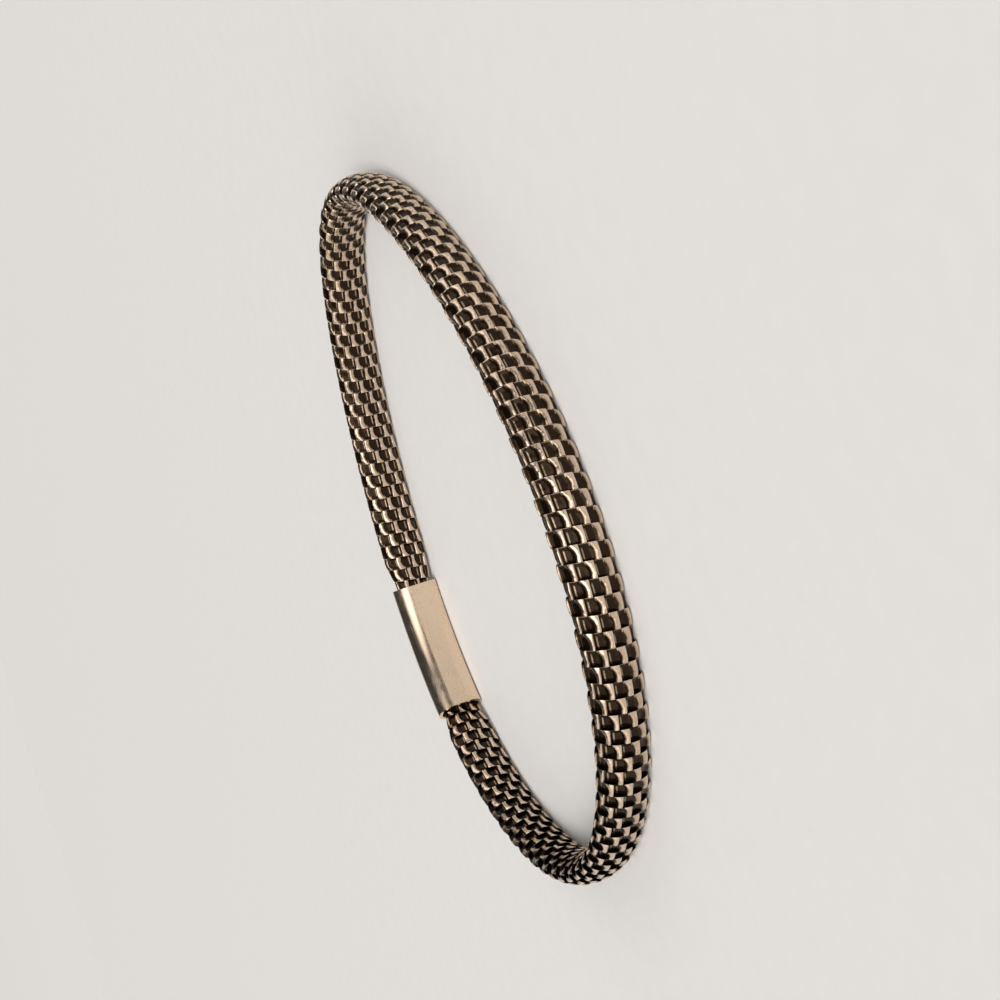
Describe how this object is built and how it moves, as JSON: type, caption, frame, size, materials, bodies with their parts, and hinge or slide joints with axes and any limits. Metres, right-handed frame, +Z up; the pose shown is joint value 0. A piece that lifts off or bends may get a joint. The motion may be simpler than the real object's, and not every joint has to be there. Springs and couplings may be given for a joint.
{
  "type": "mesh tube bracelet",
  "caption": "Flexible hollow mesh tube wound from corrugated gold ribbon, bent into an oval loop and closed by a plain barrel clasp, worn round the wrist.",
  "frame": {"origin": "middle of the loop's box, on the surface that the bracelet lies on", "axes": "+Z up along the wrist's axis; +X across the wrist, along the loop's long way; +Y towards the clasp, so that -Y is the side that shows when the bracelet is worn"},
  "size_m": [0.068, 0.0578, 0.0047],
  "materials": {
    "mesh_gold": "satin",
    "clasp_gold": "polished"
  },
  "bodies": {
    "root": {"mesh_tube": "mesh_gold", "clasp": "clasp_gold"}
  },
  "joints": []
}
